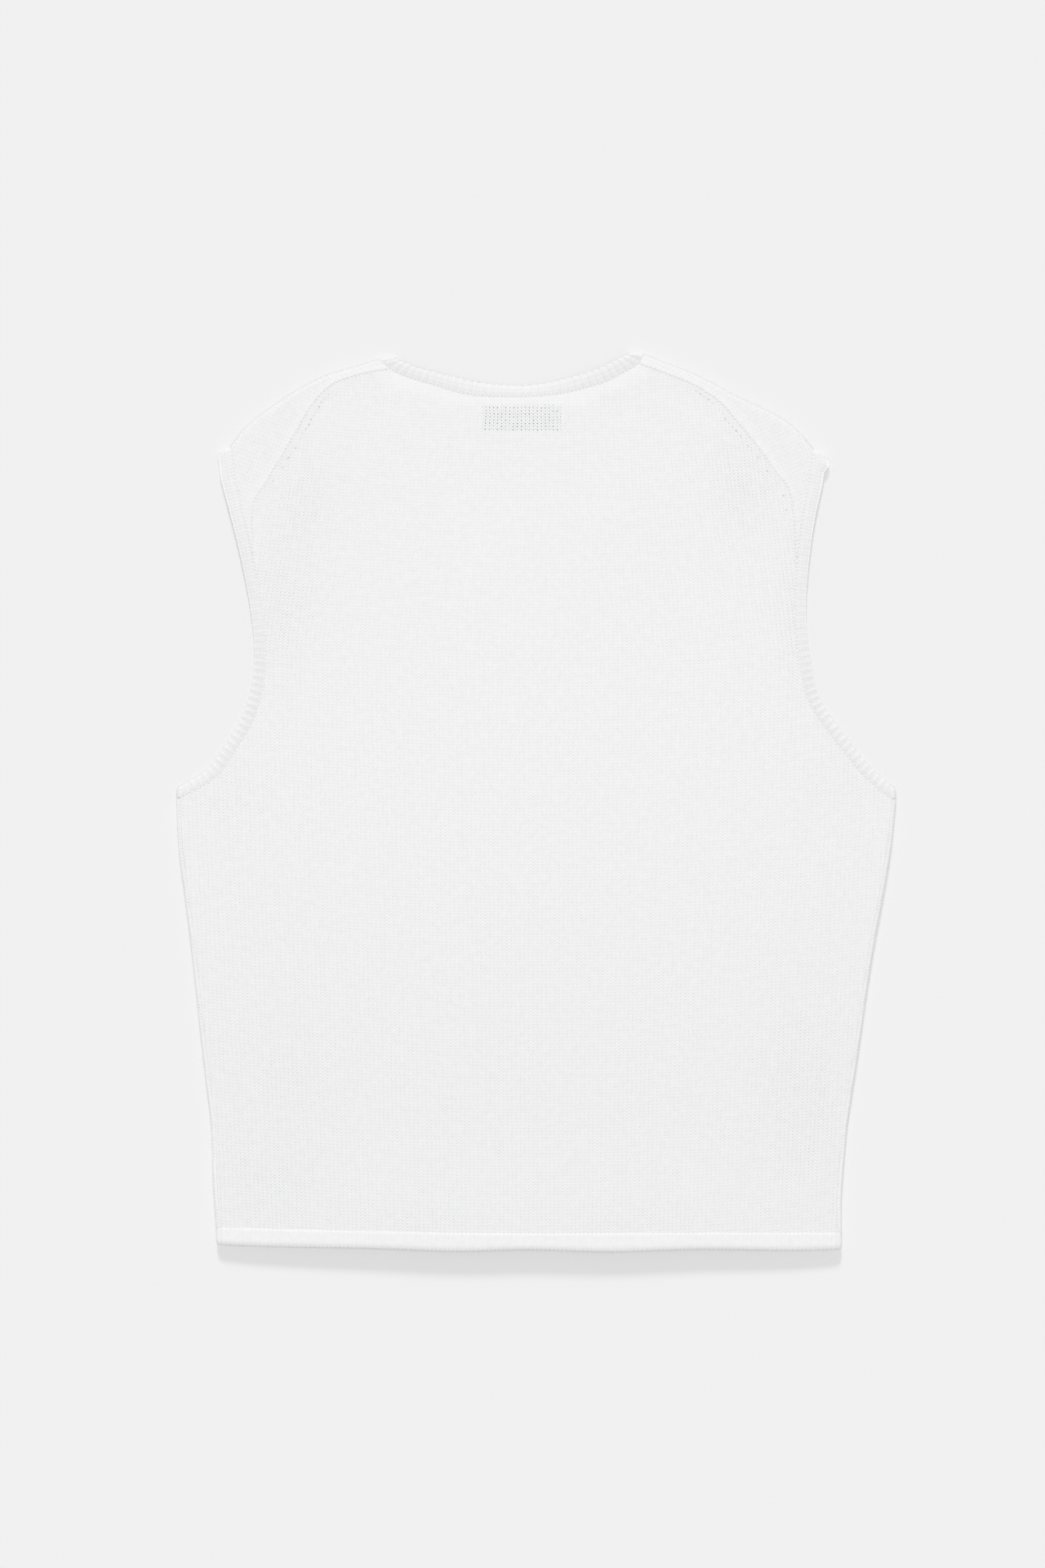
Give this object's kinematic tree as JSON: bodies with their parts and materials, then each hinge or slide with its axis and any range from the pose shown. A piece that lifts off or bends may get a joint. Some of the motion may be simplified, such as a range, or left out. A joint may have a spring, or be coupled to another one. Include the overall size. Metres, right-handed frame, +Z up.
{
  "type": "knitted sweater vest, laid flat",
  "caption": "Plain knit V-neck sweater vest laid flat with its back up, with ribbed neck and armhole trims and a tubular hem.",
  "frame": {"origin": "the middle of the laid garment's bounding box, on the surface that it lies on", "axes": "+Y from the hem to the neck, +Z up from the surface, +X to the right as seen from above, where the back of the garment is up"},
  "size_m": [0.5398, 0.6734, 0.0096],
  "materials": {
    "body_knit": "white plain-knit yarn, matt and soft, with small dark gaps between the stitches",
    "rib_trim": "white ribbed knit trim, matt",
    "hem_knit": "white tubular knit band, matt",
    "woven_label": "dark blue-grey woven label, blank"
  },
  "bodies": {
    "root": {"back_panel": "body_knit", "front_panel": "body_knit", "neck_trim": "rib_trim", "armhole_trim_left": "rib_trim", "armhole_trim_right": "rib_trim", "hem_front": "hem_knit", "hem_back": "hem_knit", "neck_label": "woven_label"}
  },
  "joints": []
}
